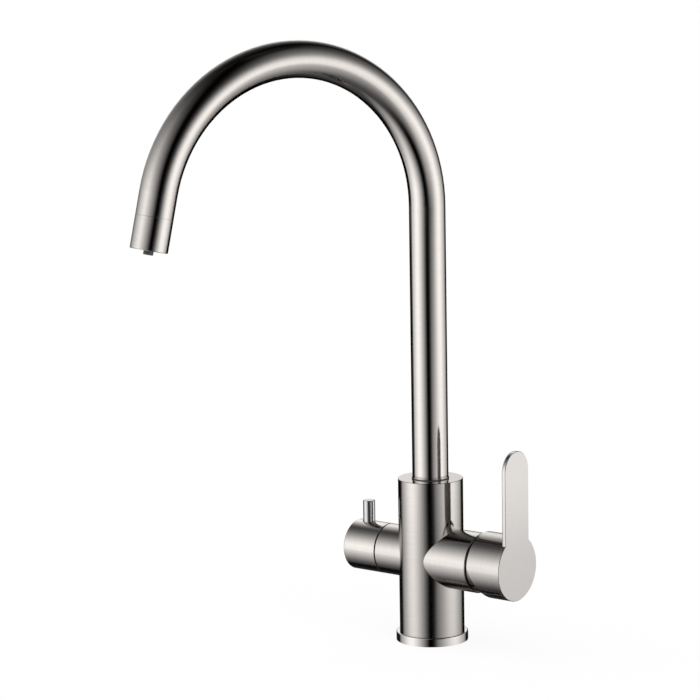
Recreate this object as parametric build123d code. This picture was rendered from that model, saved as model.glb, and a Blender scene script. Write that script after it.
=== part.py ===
from build123d import *
import math
import os

os.makedirs("parts", exist_ok=True)

# Three-way kitchen tap with a swan-neck spout. Millimetres, +Z up.
# The origin is on the body's axis in the plane of the deck it stands on.
# +X runs out along the mixer lever's axis and the filter knob is on the -X side.

# Fits shared by every piece
running_gap = 0.05          # between faces that turn or slide on each other
fit_gap = 0.03              # between pieces that are screwed or pushed together
overrun = 5.0               # how far a cutting tool runs past a face

# Body and its foot
body_diameter = 45.0
body_height = 114.3
body_edge = 0.25            # bevel round the flat top
side_axis_height = 59.4     # height of the axis that both side valves share
flange_rim = 2.5            # how far the foot flange stands out from the body
flange_height = 6.2
flange_edge = 0.8           # radius of the rounded upper edge
flange_lip = 3.0            # thickness of the lip that the body stands on
flange_lip_width = 2.0
seal_width = 2.0
seal_height = 1.6

# Inlets and fixing hole in the underside
inlet_circle_radius = 11.5  # the three inlets lie on this circle
inlet_angle = 60.0          # hot and cold, each side of +X
inlet_thread_radius = 4.5
inlet_thread_depth = 12.0
stud_thread_radius = 3.4
stud_thread_depth = 14.0
side_channel_radius = 2.6   # hot and cold waterways
mixed_channel_radius = 2.8
filter_channel_radius = 2.3

# Mixer housing and cartridge, listed outwards from the seat
mixer_seat_distance = 12.0
cartridge_diameter = 35.0
cartridge_gap = 0.25
housing_wall = 3.0
housing_edge = 0.6
shell_wall = 2.1
cartridge_base_thickness = 5.0
fixed_disc_thickness = 4.0
moving_disc_thickness = 3.0
slider_thickness = 5.0
slider_gap = 0.3
carrier_thickness = 7.5
shell_end_thickness = 2.0
carrier_neck_length = 1.3   # how far the carrier's neck stands past the shell
carrier_neck_radius = 10.4
nut_height = 4.6
nut_wall = 1.7              # housing wall left round the nut
nut_opening_radius = 12.5
cover_ring_height = 4.5
cover_ring_floor = 1.2      # thickness of the ring's floor on the nut
cover_ring_rim_wall = 1.4
cover_ring_edge = 0.6
cover_ring_rim = 1.4        # how far the cover ring lies inside the housing's rim
cover_ring_spigot = 1.6
cover_ring_wall = 0.8
port_rise = 4.5             # hot and cold ports above the cartridge axis
outlet_drop = 7.0           # mixed outlet below it
port_seal_cord = 0.8
port_seal_gap = 0.2
fixed_disc_radius = 14.9
moving_disc_radius = 12.6
mixing_pocket_radius = 9.3
mixing_pocket_drop = 2.2
mixing_pocket_depth = 1.4
carrier_seal_cord = 0.8
carrier_seal_radius = 12.6

# Stem and lever
lever_tilt = 22.0           # degrees from shut to full flow
ball_radius = 2.2
ball_floor = 0.8            # slider wall behind the ball
ball_gap = 0.15
stem_neck_radius = 1.4
stem_side = 7.0
stem_heel = 2.5             # from the pivot back to the end of the square
stem_edge = 0.6
stem_pin_radius = 1.5
stem_pin_inset = 0.5
slot_gap = 0.4
lever_gap = 2.9             # gap between the housing and the hub
skirt_gap = 0.35            # radial room between the housing and the hub's skirt
hub_wall = 1.35
hub_depth = 23.8            # rear rim to the back of the plate
hub_front_wall = 2.0
hub_boss_radius = 8.5
hub_boss_length = 14.2
hub_bore_end = 0.7
stem_end_gap = 0.3
hub_relief_rise = 1.5       # the slope under the hub's rear rim starts this far above the axis
plate_thickness = 2.7
plate_edge = 0.3
blade_width = 27.3
blade_rise = 81.2           # top of the blade above the lever's axis
grub_radius = 2.1
grub_length = 5.0
grub_key_radius = 1.2
grub_key_depth = 2.4
lever_grub_place = 8.0      # from the front of the hub's boss root
plug_cap_radius = 2.6
plug_cap_length = 2.0

# Filter valve and knob, listed outwards from the seat
filter_seat_distance = 14.0
filter_inlet_inset = 9.5    # rising waterway, from the body's axis
filter_boss_radius = 17.6
filter_boss_end = 36.35
filter_boss_edge = 0.3
filter_seal_thickness = 1.5
filter_disc_thickness = 3.0
filter_disc_radius = 7.8
filter_disc_port = 2.2
filter_disc_port_offset = 4.2
spindle_flange_thickness = 3.0
spindle_slot_depth = 1.5
spindle_radius = 4.0
valve_wall = 1.8
valve_thread_length = 13.0
valve_collar_thickness = 3.0
valve_collar_flats = 20.0
valve_neck_radius = 7.0
valve_neck_length = 9.0
valve_waist_depth = 0.7
valve_window_radius = 1.3
boss_mouth_radius = 13.0
spindle_seal_cord = 0.7
knob_gap = 0.7              # width of the seam between the boss and the knob
knob_length = 27.05
knob_edge = 0.8
knob_rear_edge = 0.25
knob_recess_depth = 7.0
knob_recess_wall = 2.2
spindle_grip = 10.0         # length of the spindle held in the knob
knob_grub_length = 6.0
knob_pin_radius = 4.25
knob_pin_height = 15.0      # how far the pin stands above the knob
knob_pin_socket = 6.0
knob_pin_place = 9.8        # from the knob's flat end to the pin's axis
knob_pin_edge = 0.6
knob_pin_sink_width = 0.4   # dark groove round the pin's foot
knob_pin_sink_depth = 1.2

# Spout
tube_diameter = 25.0
tube_wall = 1.2
arc_radius = 104.0          # of the tube's centre line
arc_height = 303.3          # where the straight rise ends
arc_sweep = 167.4           # degrees turned by the arc
tail_length = 37.6          # straight part after the arc, with the tip sleeve
spout_rest_angle = -110.2   # degrees from +X, as the spout stands in the photograph
socket_depth = 24.0
socket_wall_radius = 10.9
glide_counterbore = 1.2
glide_proud = 0.2           # how far the glide ring stands above the body
glide_width = 2.0
collar_height = 1.0
collar_rim = 0.4            # collar radius beyond the tube
collar_edge = 0.3
spigot_bore_radius = 6.5
spigot_neck_length = 12.0
spigot_end_gap = 0.3
spigot_seal_cord = 1.2
spigot_seal_pitch = 5.0
spigot_seal_place = 4.0     # first seal above the spigot's lower end
retainer_groove_depth = 1.6
retainer_groove_width = 5.0
retainer_depth = 9.3        # retaining screw below the body's top
retainer_radius = 2.1
retainer_tip_gap = 0.35
retainer_key_radius = 1.25
retainer_key_depth = 3.0

# Filtered water line inside the spout
plug_radius = 3.95
plug_socket_depth = 12.0
plug_end_gap = 0.5
plug_rise = 3.7             # plug shoulder above the socket floor
plug_bore_radius = 1.2
plug_seal_cord = 0.8
plug_seal_place = 5.0
hose_radius = 4.0
hose_bore_radius = 2.65
barb_length = 8.0

# Tip
sleeve_length = 22.0
sleeve_neck_length = 6.0
sleeve_neck_wall = 1.4
sleeve_wall = 1.5
tip_edge = 0.3
sleeve_seam_edge = 0.2      # bevel that shows as a faint seam on the tube
aerator_recess = 0.5        # aerator face behind the sleeve's rim
aerator_height = 9.0
aerator_rim_height = 0.8
aerator_rim_width = 1.2
aerator_hole_radius = 0.75
aerator_inner_holes = 12
aerator_outer_holes = 20
aerator_seal_thickness = 1.4
aerator_seal_width = 2.4
screen_thickness = 0.6
screen_hole_radius = 0.5
screen_holes = 18
nozzle_radius = 3.3
nozzle_bore_radius = 1.9
nozzle_proud = 2.8          # how far the nozzle stands out of the tip
nozzle_edge = 0.3
nozzle_shoulder_length = 2.6

# Places worked out from the sizes above
body_radius = body_diameter / 2
foot_radius = body_radius - flange_lip_width
flange_radius = body_radius + flange_rim
seal_radius = (foot_radius + flange_radius) / 2

shell_radius = cartridge_diameter / 2
cartridge_bore_radius = shell_radius + cartridge_gap
housing_radius = cartridge_bore_radius + housing_wall
shell_bore_radius = shell_radius - shell_wall
base_front = mixer_seat_distance + cartridge_base_thickness
fixed_disc_front = base_front + fixed_disc_thickness
moving_disc_back = fixed_disc_front + running_gap
moving_disc_front = moving_disc_back + moving_disc_thickness
slider_front = moving_disc_front + slider_thickness
ball_place = moving_disc_front + ball_floor + ball_gap + ball_radius
carrier_back = slider_front + slider_gap
carrier_front = carrier_back + carrier_thickness
shell_inner_end = carrier_front + running_gap
shell_end = shell_inner_end + shell_end_thickness
carrier_neck_end = shell_end + carrier_neck_length
housing_end = shell_end + nut_height
cover_ring_end = housing_end + cover_ring_height
pivot_place = (carrier_back + carrier_front) / 2
nut_radius = housing_radius - nut_wall
carrier_radius = shell_bore_radius - running_gap
slot_reach = carrier_neck_end - pivot_place
tilt = math.radians(lever_tilt)
slot_half_height = stem_side / 2 / math.cos(tilt) + slot_reach * math.tan(tilt) + slot_gap
slot_half_width = stem_side / 2 + running_gap

hub_bore_radius = housing_radius + skirt_gap
hub_radius = hub_bore_radius + hub_wall
hub_back = housing_end + lever_gap
hub_front = hub_back + hub_depth
plate_front = hub_front + plate_thickness
hub_wall_back = hub_front - hub_front_wall
hub_boss_back = hub_wall_back - hub_boss_length
hub_bore_front = hub_front - hub_bore_end
stem_end = hub_bore_front - stem_end_gap
lever_grub_x = hub_wall_back - lever_grub_place
grub_top = side_axis_height - stem_side / 2 - fit_gap
grub_low = grub_top - grub_length

inlet_reach = inlet_circle_radius * math.cos(math.radians(inlet_angle))
inlet_spread = inlet_circle_radius * math.sin(math.radians(inlet_angle))
port_height = side_axis_height + port_rise
outlet_height = side_axis_height - outlet_drop

filter_seal_front = filter_seat_distance + filter_seal_thickness
filter_fixed_front = filter_seal_front + filter_disc_thickness
filter_moving_back = filter_fixed_front + running_gap
filter_moving_front = filter_moving_back + filter_disc_thickness
spindle_flange_front = filter_moving_front + spindle_flange_thickness
valve_chamber_front = spindle_flange_front + running_gap
valve_chamber_radius = filter_disc_radius + running_gap
valve_thread_radius = valve_chamber_radius + valve_wall
valve_bore_radius = valve_thread_radius + fit_gap
valve_collar_back = filter_seat_distance + valve_thread_length
valve_collar_front = valve_collar_back + valve_collar_thickness
valve_neck_end = valve_collar_front + valve_neck_length
valve_waist_place = (filter_moving_front + spindle_flange_front) / 2
knob_back = filter_boss_end + knob_gap
knob_end = knob_back + knob_length
knob_core_back = knob_back + knob_recess_depth
knob_recess_radius = filter_boss_radius - knob_recess_wall
spindle_end = knob_core_back + spindle_grip
knob_grub_x = knob_core_back + spindle_grip / 2
knob_pin_x = knob_end - knob_pin_place
knob_pin_top = side_axis_height + filter_boss_radius + knob_pin_height
knob_pin_low = side_axis_height + filter_boss_radius - knob_pin_socket
knob_pin_sink_floor = side_axis_height + filter_boss_radius - knob_pin_sink_depth
knob_grub_top = side_axis_height - spindle_radius - fit_gap
knob_grub_low = knob_grub_top - knob_grub_length

tube_radius = tube_diameter / 2
tube_bore_radius = tube_radius - tube_wall
socket_floor = body_height - socket_depth
glide_floor = body_height - glide_counterbore
glide_top = body_height + glide_proud
spigot_radius = socket_wall_radius - running_gap
glide_inner_radius = spigot_radius + running_gap
glide_radius = glide_inner_radius + glide_width
collar_low = glide_top + running_gap
collar_top = collar_low + collar_height
collar_radius = tube_radius + collar_rim
spigot_low = socket_floor + spigot_end_gap
spigot_neck_radius = tube_bore_radius - fit_gap
spigot_neck_top = collar_top + spigot_neck_length
retainer_height = body_height - retainer_depth
retainer_groove_radius = spigot_radius - retainer_groove_depth
retainer_tip = retainer_groove_radius + retainer_tip_gap
plug_socket_radius = plug_radius + running_gap
plug_socket_floor = socket_floor - plug_socket_depth
plug_low = plug_socket_floor + plug_end_gap
plug_top = socket_floor + plug_rise
barb_radius = hose_bore_radius - fit_gap
mixed_channel_x = (plug_socket_radius + socket_wall_radius) / 2

end_angle = math.radians(180 - arc_sweep)
mid_angle = math.radians(180 - arc_sweep / 2)
arc_centre = Vector(arc_radius, 0, arc_height)
arc_end = arc_centre + Vector(arc_radius, 0, 0).rotate(Axis.Y, -math.degrees(end_angle))
arc_middle = arc_centre + Vector(arc_radius, 0, 0).rotate(Axis.Y, -math.degrees(mid_angle))
tail_direction = Vector(math.sin(end_angle), 0, -math.cos(end_angle))
tip_end = arc_end + tail_direction * tail_length
spout_turn = Rot(0, 0, spout_rest_angle)
tip_frame = spout_turn * Location(Plane(origin=tip_end, x_dir=(0, 1, 0), z_dir=-tail_direction))

sleeve_neck_radius = tube_bore_radius - fit_gap
sleeve_neck_bore = sleeve_neck_radius - sleeve_neck_wall
sleeve_bore = tube_radius - sleeve_wall
aerator_top = aerator_recess + aerator_height
aerator_seat = aerator_top + aerator_seal_thickness
aerator_radius = sleeve_bore - fit_gap
screen_radius = aerator_radius - aerator_seal_width - fit_gap
screen_top = aerator_top + screen_thickness
nozzle_hole_radius = nozzle_radius + fit_gap
nozzle_shoulder_top = screen_top + nozzle_shoulder_length
nozzle_top = nozzle_shoulder_top + barb_length

STAND = (Align.CENTER, Align.CENTER, Align.MIN)


def rod_z(radius, low, high, x=0, y=0):
    """Upright round bar from one height to another."""
    return Pos(x, y, low) * Cylinder(radius, high - low, align=STAND)


def rod_x(radius, near, far, y=0, z=side_axis_height):
    """Round bar along X from one x to another."""
    return Pos(near, y, z) * Rot(0, 90, 0) * Cylinder(radius, far - near, align=STAND)


def rod_y(radius, near, far, x, z):
    """Round bar along Y from one y to another."""
    return Pos(x, near, z) * Rot(-90, 0, 0) * Cylinder(radius, far - near, align=STAND)


def ring_z(outer, inner, low, high):
    """Upright tube, with its ends flat."""
    return rod_z(outer, low, high) - rod_z(inner, low - overrun, high + overrun)


def ring_x(outer, inner, near, far):
    """Tube along the side valves' axis."""
    return rod_x(outer, near, far) - rod_x(inner, near - overrun, far + overrun)


def bar_x(width, height, near, far):
    """Rectangular bar along the side valves' axis."""
    section = Pos(0, side_axis_height) * Rectangle(width, height)
    return extrude(Plane.YZ.offset(near) * section, amount=far - near)


def cord_ring_z(major, cord, height):
    """O-ring round the body's axis."""
    return Pos(0, 0, height) * Torus(major, cord)


def cord_ring_x(major, cord, x):
    """O-ring round the side valves' axis."""
    return Pos(x, 0, side_axis_height) * Rot(0, 90, 0) * Torus(major, cord)


def outer_rim(shape, axis, end=-1):
    """Outermost round edge of a turned piece at one end of an axis."""
    return shape.edges().filter_by(GeomType.CIRCLE).group_by(axis)[end].sort_by(SortBy.RADIUS)[-1]


def bevel_end(shape, axis, size, end=-1):
    """Bevels a turned piece's outer rim."""
    return chamfer(outer_rim(shape, axis, end), length=size)


def round_end(shape, axis, size, end=-1):
    """Rounds a turned piece's outer rim."""
    return fillet(outer_rim(shape, axis, end), radius=size)


def body_casting():
    """Outer form: upright cylinder, mixer housing, filter boss and the foot that stands in the flange."""
    upright = rod_z(body_radius, flange_lip, body_height)
    upright = bevel_end(upright, Axis.Z, body_edge)
    housing = bevel_end(rod_x(housing_radius, 0, housing_end), Axis.X, housing_edge)
    boss = bevel_end(rod_x(filter_boss_radius, -filter_boss_end, 0), Axis.X, filter_boss_edge, end=0)
    foot = rod_z(foot_radius - fit_gap, 0, flange_lip)
    return upright + housing + boss + foot


def cut_waterways(body):
    """Threads in the underside and the channels that rise from them."""
    body -= rod_z(stud_thread_radius, -overrun, stud_thread_depth)
    for side in (-1, 1):
        y = side * inlet_spread
        body -= rod_z(inlet_thread_radius, -overrun, inlet_thread_depth, inlet_reach, y)
        body -= rod_z(side_channel_radius, 0, port_height, inlet_reach, y)
        body -= rod_x(side_channel_radius, inlet_reach, mixer_seat_distance, y, port_height)
    body -= rod_z(inlet_thread_radius, -overrun, inlet_thread_depth, -inlet_circle_radius)
    body -= rod_z(filter_channel_radius, 0, side_axis_height, -filter_inlet_inset)
    body -= rod_x(filter_channel_radius, -filter_seat_distance, -filter_inlet_inset)
    body -= rod_x(mixed_channel_radius, mixed_channel_x, mixer_seat_distance, 0, outlet_height)
    body -= rod_z(mixed_channel_radius, outlet_height, socket_floor, mixed_channel_x)
    start = Vector(-valve_waist_place, 0, side_axis_height + valve_bore_radius - valve_window_radius)
    end = Vector(0, 0, plug_socket_floor + plug_end_gap)
    run = end - start
    channel = Cylinder(filter_channel_radius, run.length, align=STAND)
    body -= Location(Plane(origin=start, z_dir=run)) * channel
    return body


def body_shell():
    """Cast and turned body with its three sockets and its waterways."""
    body = body_casting()
    body -= rod_x(cartridge_bore_radius, mixer_seat_distance, housing_end + overrun)
    body -= rod_x(nut_radius + fit_gap, shell_end, housing_end + overrun)
    body -= rod_x(valve_bore_radius, -valve_collar_back, -filter_seat_distance)
    body -= rod_x(boss_mouth_radius, -filter_boss_end - overrun, -valve_collar_back)
    body -= rod_z(socket_wall_radius, socket_floor, body_height + overrun)
    body -= rod_z(glide_radius + fit_gap, glide_floor, body_height + overrun)
    body -= rod_z(plug_socket_radius, plug_socket_floor, socket_floor)
    body -= rod_y(retainer_radius + fit_gap, 0, body_radius + overrun, 0, retainer_height)
    return cut_waterways(body)


def base_flange():
    """Foot ring: its lip carries the body and its underside holds the seal."""
    ring = round_end(rod_z(flange_radius, 0, flange_height), Axis.Z, flange_edge)
    ring -= rod_z(body_radius + fit_gap, flange_lip, flange_height + overrun)
    ring -= rod_z(foot_radius, -overrun, flange_lip + overrun)
    half = seal_width / 2 + fit_gap
    ring -= ring_z(seal_radius + half, seal_radius - half, 0, seal_height)
    return ring


def base_seal():
    """Flat rubber ring in the groove under the flange, pressed level with the deck."""
    return ring_z(seal_radius + seal_width / 2, seal_radius - seal_width / 2, 0, seal_height)


def spout_glide_ring():
    """Plastic washer that the spout's collar turns on."""
    return ring_z(glide_radius, glide_inner_radius, glide_floor, glide_top)


def spout_retaining_screw():
    """Grub screw at the back whose tip runs in the spigot's groove."""
    outer = body_radius - fit_gap
    screw = rod_y(retainer_radius, retainer_tip, outer - retainer_radius / 2, 0, retainer_height)
    key_floor = outer - retainer_radius / 2 - retainer_key_depth
    key = rod_y(retainer_key_radius, key_floor, outer, 0, retainer_height)
    return screw - key


def cartridge_ports():
    """Places of the hot, cold and mixed ports as (y, height, radius)."""
    hot = (inlet_spread, port_height, side_channel_radius)
    cold = (-inlet_spread, port_height, side_channel_radius)
    mixed = (0, outlet_height, mixed_channel_radius)
    return (hot, cold, mixed)


def cartridge_base():
    """Plate that closes the cartridge against the seat, with three ports."""
    plate = rod_x(shell_radius, mixer_seat_distance, base_front)
    for y, height, radius in cartridge_ports():
        plate -= rod_x(radius, mixer_seat_distance - overrun, base_front + overrun, y, height)
        groove = radius + port_seal_gap + 2 * port_seal_cord + fit_gap
        plate -= rod_x(groove, mixer_seat_distance, mixer_seat_distance + 2 * port_seal_cord, y, height)
    return plate


def cartridge_seals():
    """One rubber ring round each port, in the underside of the base."""
    rings = []
    for y, height, radius in cartridge_ports():
        major = radius + port_seal_gap + port_seal_cord
        place = Pos(mixer_seat_distance + port_seal_cord, y, height) * Rot(0, 90, 0)
        rings.append(place * Torus(major, port_seal_cord))
    return rings[0] + rings[1] + rings[2]


def cartridge_shell():
    """Plastic cup that holds the discs and the carrier, open at the base."""
    cup = rod_x(shell_radius, base_front, shell_end)
    cup -= rod_x(shell_bore_radius, base_front, shell_inner_end)
    cup -= rod_x(carrier_neck_radius + running_gap, base_front, shell_end + overrun)
    return cup


def mixer_fixed_disc():
    """Ceramic disc that stays on the base."""
    disc = rod_x(fixed_disc_radius, base_front, fixed_disc_front)
    for y, height, radius in cartridge_ports():
        disc -= rod_x(radius, base_front - overrun, fixed_disc_front + overrun, y, height)
    return disc


def mixer_moving_disc():
    """Ceramic disc that slides and turns on the fixed one, with the mixing pocket in its back."""
    disc = rod_x(moving_disc_radius, moving_disc_back, moving_disc_front)
    pocket_height = side_axis_height - mixing_pocket_drop
    pocket_front = moving_disc_back + mixing_pocket_depth
    return disc - rod_x(mixing_pocket_radius, moving_disc_back, pocket_front, 0, pocket_height)


def disc_slider():
    """Plastic plate on the moving disc, with the pocket that the stem's ball drives."""
    plate = rod_x(moving_disc_radius, moving_disc_front, slider_front)
    width = 2 * (ball_radius + ball_gap)
    return plate - bar_x(width, width, moving_disc_front + ball_floor, slider_front + overrun)


def mixer_carrier():
    """Turns in the shell and carries the stem on its pin."""
    carrier = rod_x(carrier_radius, carrier_back, carrier_front)
    carrier += rod_x(carrier_neck_radius, carrier_front, carrier_neck_end)
    slot_end = carrier_neck_end + overrun
    carrier -= bar_x(2 * slot_half_width, 2 * slot_half_height, carrier_back - overrun, slot_end)
    pin_hole = stem_pin_radius + fit_gap
    carrier -= rod_y(pin_hole, -carrier_radius, carrier_radius, pivot_place, side_axis_height)
    groove = carrier_seal_cord + fit_gap
    floor = carrier_front - 2 * carrier_seal_cord
    carrier -= ring_x(carrier_seal_radius + groove, carrier_seal_radius - groove, floor, carrier_front)
    return carrier


def carrier_seal():
    """Rubber ring between the carrier and the shell's end."""
    return cord_ring_x(carrier_seal_radius, carrier_seal_cord, carrier_front - carrier_seal_cord)


def stem_pin():
    """Cross pin that the stem tilts on."""
    reach = carrier_radius - stem_pin_inset
    return rod_y(stem_pin_radius, -reach, reach, pivot_place, side_axis_height)


def clamp_nut():
    """Ring nut that holds the cartridge down."""
    return ring_x(nut_radius, nut_opening_radius, shell_end, housing_end)


def cover_ring():
    """Bright cup over the nut that shows in the gap behind the hub."""
    outer = housing_radius - cover_ring_rim
    tail_radius = nut_opening_radius - fit_gap
    tail_end = housing_end - cover_ring_spigot
    cup = round_end(rod_x(outer, housing_end, cover_ring_end), Axis.X, cover_ring_edge)
    cup -= rod_x(outer - cover_ring_rim_wall, housing_end + cover_ring_floor, cover_ring_end + overrun)
    cup += rod_x(tail_radius, tail_end, housing_end)
    return cup - rod_x(tail_radius - cover_ring_wall, tail_end - overrun, cover_ring_end + overrun)


def stem():
    """Ball, neck and square bar that carry the lever."""
    square_back = pivot_place - stem_heel
    bar = bar_x(stem_side, stem_side, square_back, stem_end)
    bar = chamfer(bar.edges().filter_by(Axis.X), length=stem_edge)
    ball = Pos(ball_place, 0, side_axis_height) * Sphere(ball_radius)
    piece = bar + ball + rod_x(stem_neck_radius, ball_place, square_back)
    hole = stem_pin_radius + running_gap
    return piece - rod_y(hole, -stem_side, stem_side, pivot_place, side_axis_height)


def hub_relief():
    """Wedge under the rear rim, sloped by the lever's tilt, that leaves room for the tilted hub."""
    high = side_axis_height + hub_relief_rise
    drop = hub_relief_rise + hub_radius + overrun
    reach = drop * math.tan(tilt)
    section = Polygon((hub_back, high), (hub_back + reach, high - drop), (hub_back, high - drop), align=None)
    return extrude(Plane.XZ * section, amount=hub_radius + overrun, both=True)


def lever_hub():
    """Cup in front of the housing, with the boss that takes the stem."""
    hub = rod_x(hub_radius, hub_back, hub_front)
    hub -= rod_x(hub_bore_radius, hub_back - overrun, hub_wall_back)
    hub -= hub_relief()
    hub += rod_x(hub_boss_radius, hub_boss_back, hub_wall_back)
    bore_side = stem_side + 2 * fit_gap
    hub -= bar_x(bore_side, bore_side, hub_boss_back - overrun, hub_bore_front)
    boss_foot = side_axis_height - hub_boss_radius - fit_gap
    hub -= rod_z(grub_radius + fit_gap, boss_foot, side_axis_height, lever_grub_x)
    hub -= rod_z(plug_cap_radius + fit_gap, 0, boss_foot, lever_grub_x)
    return hub


def lever_plate():
    """Keyhole-shaped plate: a disc level with the hub and a round-ended blade."""
    blade_centre = blade_rise - blade_width / 2
    section = Circle(hub_radius)
    section += Rectangle(blade_width, blade_centre, align=(Align.CENTER, Align.MIN))
    section += Pos(0, blade_centre) * Circle(blade_width / 2)
    section = Pos(0, side_axis_height) * section
    plate = extrude(Plane.YZ.offset(hub_front) * section, amount=plate_thickness)
    return chamfer(plate.edges().group_by(Axis.X)[-1], length=plate_edge)


def lever_grub_screw():
    """Clamps the hub on the stem from below."""
    screw = rod_z(grub_radius, grub_low, grub_top, lever_grub_x)
    return screw - rod_z(grub_key_radius, grub_low, grub_low + grub_key_depth, lever_grub_x)


def lever_plug_cap():
    """Cap in the hub's wall over the grub screw."""
    level = math.sqrt(hub_radius ** 2 - plug_cap_radius ** 2)
    low = side_axis_height - level
    return rod_z(plug_cap_radius, low, low + plug_cap_length, lever_grub_x)


def filter_valve_body():
    """Headwork of the filtered-water valve, screwed into the boss."""
    valve = rod_x(valve_thread_radius, -valve_collar_back, -filter_seat_distance - fit_gap)
    collar = Pos(0, side_axis_height) * RegularPolygon(valve_collar_flats / 2, 6, major_radius=False)
    valve += extrude(Plane.YZ.offset(-valve_collar_front) * collar, amount=valve_collar_thickness)
    valve += rod_x(valve_neck_radius, -valve_neck_end, -valve_collar_front)
    valve -= rod_x(valve_chamber_radius, -valve_chamber_front, 0)
    valve -= rod_x(spindle_radius + running_gap, -valve_neck_end - overrun, 0)
    waist_radius = valve_thread_radius - valve_waist_depth
    valve -= ring_x(valve_thread_radius + overrun, waist_radius, -spindle_flange_front, -filter_moving_front)
    low = side_axis_height - valve_bore_radius
    high = side_axis_height + valve_bore_radius
    return valve - rod_z(valve_window_radius, low, high, -valve_waist_place)


def filter_seat_seal():
    """Rubber ring between the valve's fixed disc and its seat."""
    inner = filter_channel_radius + filter_seal_thickness
    return ring_x(filter_disc_radius, inner, -filter_seal_front, -filter_seat_distance)


def disc_with_ports(near, far):
    """Ceramic disc with two opposite ports."""
    disc = rod_x(filter_disc_radius, near, far)
    for side in (-1, 1):
        y = side * filter_disc_port_offset
        disc -= rod_x(filter_disc_port, near - overrun, far + overrun, y)
    return disc


def filter_fixed_disc():
    """Disc that stays on the seal."""
    return disc_with_ports(-filter_fixed_front, -filter_seal_front)


def filter_moving_disc():
    """Disc that turns with the spindle; its ports stand across the fixed ones when shut."""
    across = Pos(0, 0, side_axis_height) * Rot(90, 0, 0) * Pos(0, 0, -side_axis_height)
    return across * disc_with_ports(-filter_moving_front, -filter_moving_back)


def filter_spindle():
    """Turns the moving disc from the knob."""
    spindle = rod_x(filter_disc_radius, -spindle_flange_front, -filter_moving_front)
    spindle += rod_x(spindle_radius, -spindle_end, -spindle_flange_front)
    slot_floor = -filter_moving_front - spindle_slot_depth
    spindle -= bar_x(2 * filter_disc_port, 2 * filter_disc_radius, slot_floor, -filter_moving_front)
    floor = spindle_radius - 2 * spindle_seal_cord
    groove = spindle_seal_cord + fit_gap
    place = -spindle_seal_x()
    return spindle - ring_x(spindle_radius + overrun, floor, place - groove, place + groove)


def spindle_seal_x():
    """Distance of the spindle's seal, in the middle of the valve's neck."""
    return (valve_collar_front + valve_neck_end) / 2


def spindle_seal():
    """Rubber ring on the spindle."""
    return cord_ring_x(spindle_radius - spindle_seal_cord, spindle_seal_cord, -spindle_seal_x())


def filter_knob():
    """Knob with a recess over the valve's neck, a bore for the spindle and a socket for the pin."""
    knob = rod_x(filter_boss_radius, -knob_end, -knob_back)
    knob = bevel_end(knob, Axis.X, knob_rear_edge)
    knob = round_end(knob, Axis.X, knob_edge, end=0)
    knob -= rod_x(knob_recess_radius, -knob_core_back, -knob_back + overrun)
    knob -= rod_x(spindle_radius + fit_gap, -spindle_end - spindle_radius / 4, -knob_core_back)
    knob -= rod_z(knob_pin_radius + fit_gap, knob_pin_low, knob_pin_top, -knob_pin_x)
    knob -= rod_z(knob_pin_radius + knob_pin_sink_width, knob_pin_sink_floor, knob_pin_top, -knob_pin_x)
    knob -= rod_z(grub_radius + fit_gap, 0, side_axis_height, -knob_grub_x)
    return knob


def knob_pin():
    """Small polished pin that the knob is turned by."""
    pin = rod_z(knob_pin_radius, knob_pin_low, knob_pin_top, -knob_pin_x)
    return round_end(pin, Axis.Z, knob_pin_edge)


def knob_grub_screw():
    """Clamps the knob on the spindle from below."""
    screw = rod_z(grub_radius, knob_grub_low, knob_grub_top, -knob_grub_x)
    return screw - rod_z(grub_key_radius, knob_grub_low, knob_grub_low + grub_key_depth, -knob_grub_x)


def spout_path(start, tail):
    """Centre line of the spout: straight rise, one arc, straight tail."""
    rise = Line((0, 0, start), (0, 0, arc_height))
    bend = ThreePointArc((0, 0, arc_height), arc_middle, arc_end)
    run = Line(arc_end, arc_end + tail_direction * tail)
    return rise + bend + run


def swept_tube(outer, inner, start, tail):
    """Round tube along the spout's centre line."""
    path = spout_path(start, tail)
    solid = sweep(Plane(origin=(0, 0, start)) * Circle(outer), path=path)
    bore = sweep(Plane(origin=(0, 0, start)) * Circle(inner), path=path)
    return spout_turn * (solid - bore)


def spout_tube():
    """Swan-neck tube from the collar to the tip sleeve."""
    return swept_tube(tube_radius, tube_bore_radius, collar_top, tail_length - sleeve_length)


def filter_hose():
    """Inner hose that keeps filtered water apart, from its plug to the nozzle."""
    return swept_tube(hose_radius, hose_bore_radius, plug_top, tail_length - nozzle_shoulder_top)


def spigot_seal_heights():
    """Heights of the two seals on the spigot."""
    first = spigot_low + spigot_seal_place
    return (first, first + spigot_seal_pitch)


def spout_spigot():
    """Turned piece in the tube's foot: neck, collar and the stem that turns in the body's socket."""
    collar = bevel_end(rod_z(collar_radius, collar_low, collar_top), Axis.Z, collar_edge, end=0)
    spigot = collar + rod_z(spigot_radius, spigot_low, collar_low)
    spigot += rod_z(spigot_neck_radius, collar_top, spigot_neck_top)
    spigot -= rod_z(spigot_bore_radius, spigot_low - overrun, spigot_neck_top + overrun)
    groove = spigot_seal_cord + fit_gap
    floor = spigot_radius - 2 * spigot_seal_cord
    for height in spigot_seal_heights():
        spigot -= ring_z(spigot_radius + overrun, floor, height - groove, height + groove)
    half = retainer_groove_width / 2
    low = retainer_height - half
    spigot -= ring_z(spigot_radius + overrun, retainer_groove_radius, low, retainer_height + half)
    return spout_turn * spigot


def spigot_seals():
    """Two rubber rings on the spigot."""
    low, high = spigot_seal_heights()
    major = spigot_radius - spigot_seal_cord
    return cord_ring_z(major, spigot_seal_cord, low) + cord_ring_z(major, spigot_seal_cord, high)


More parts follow.
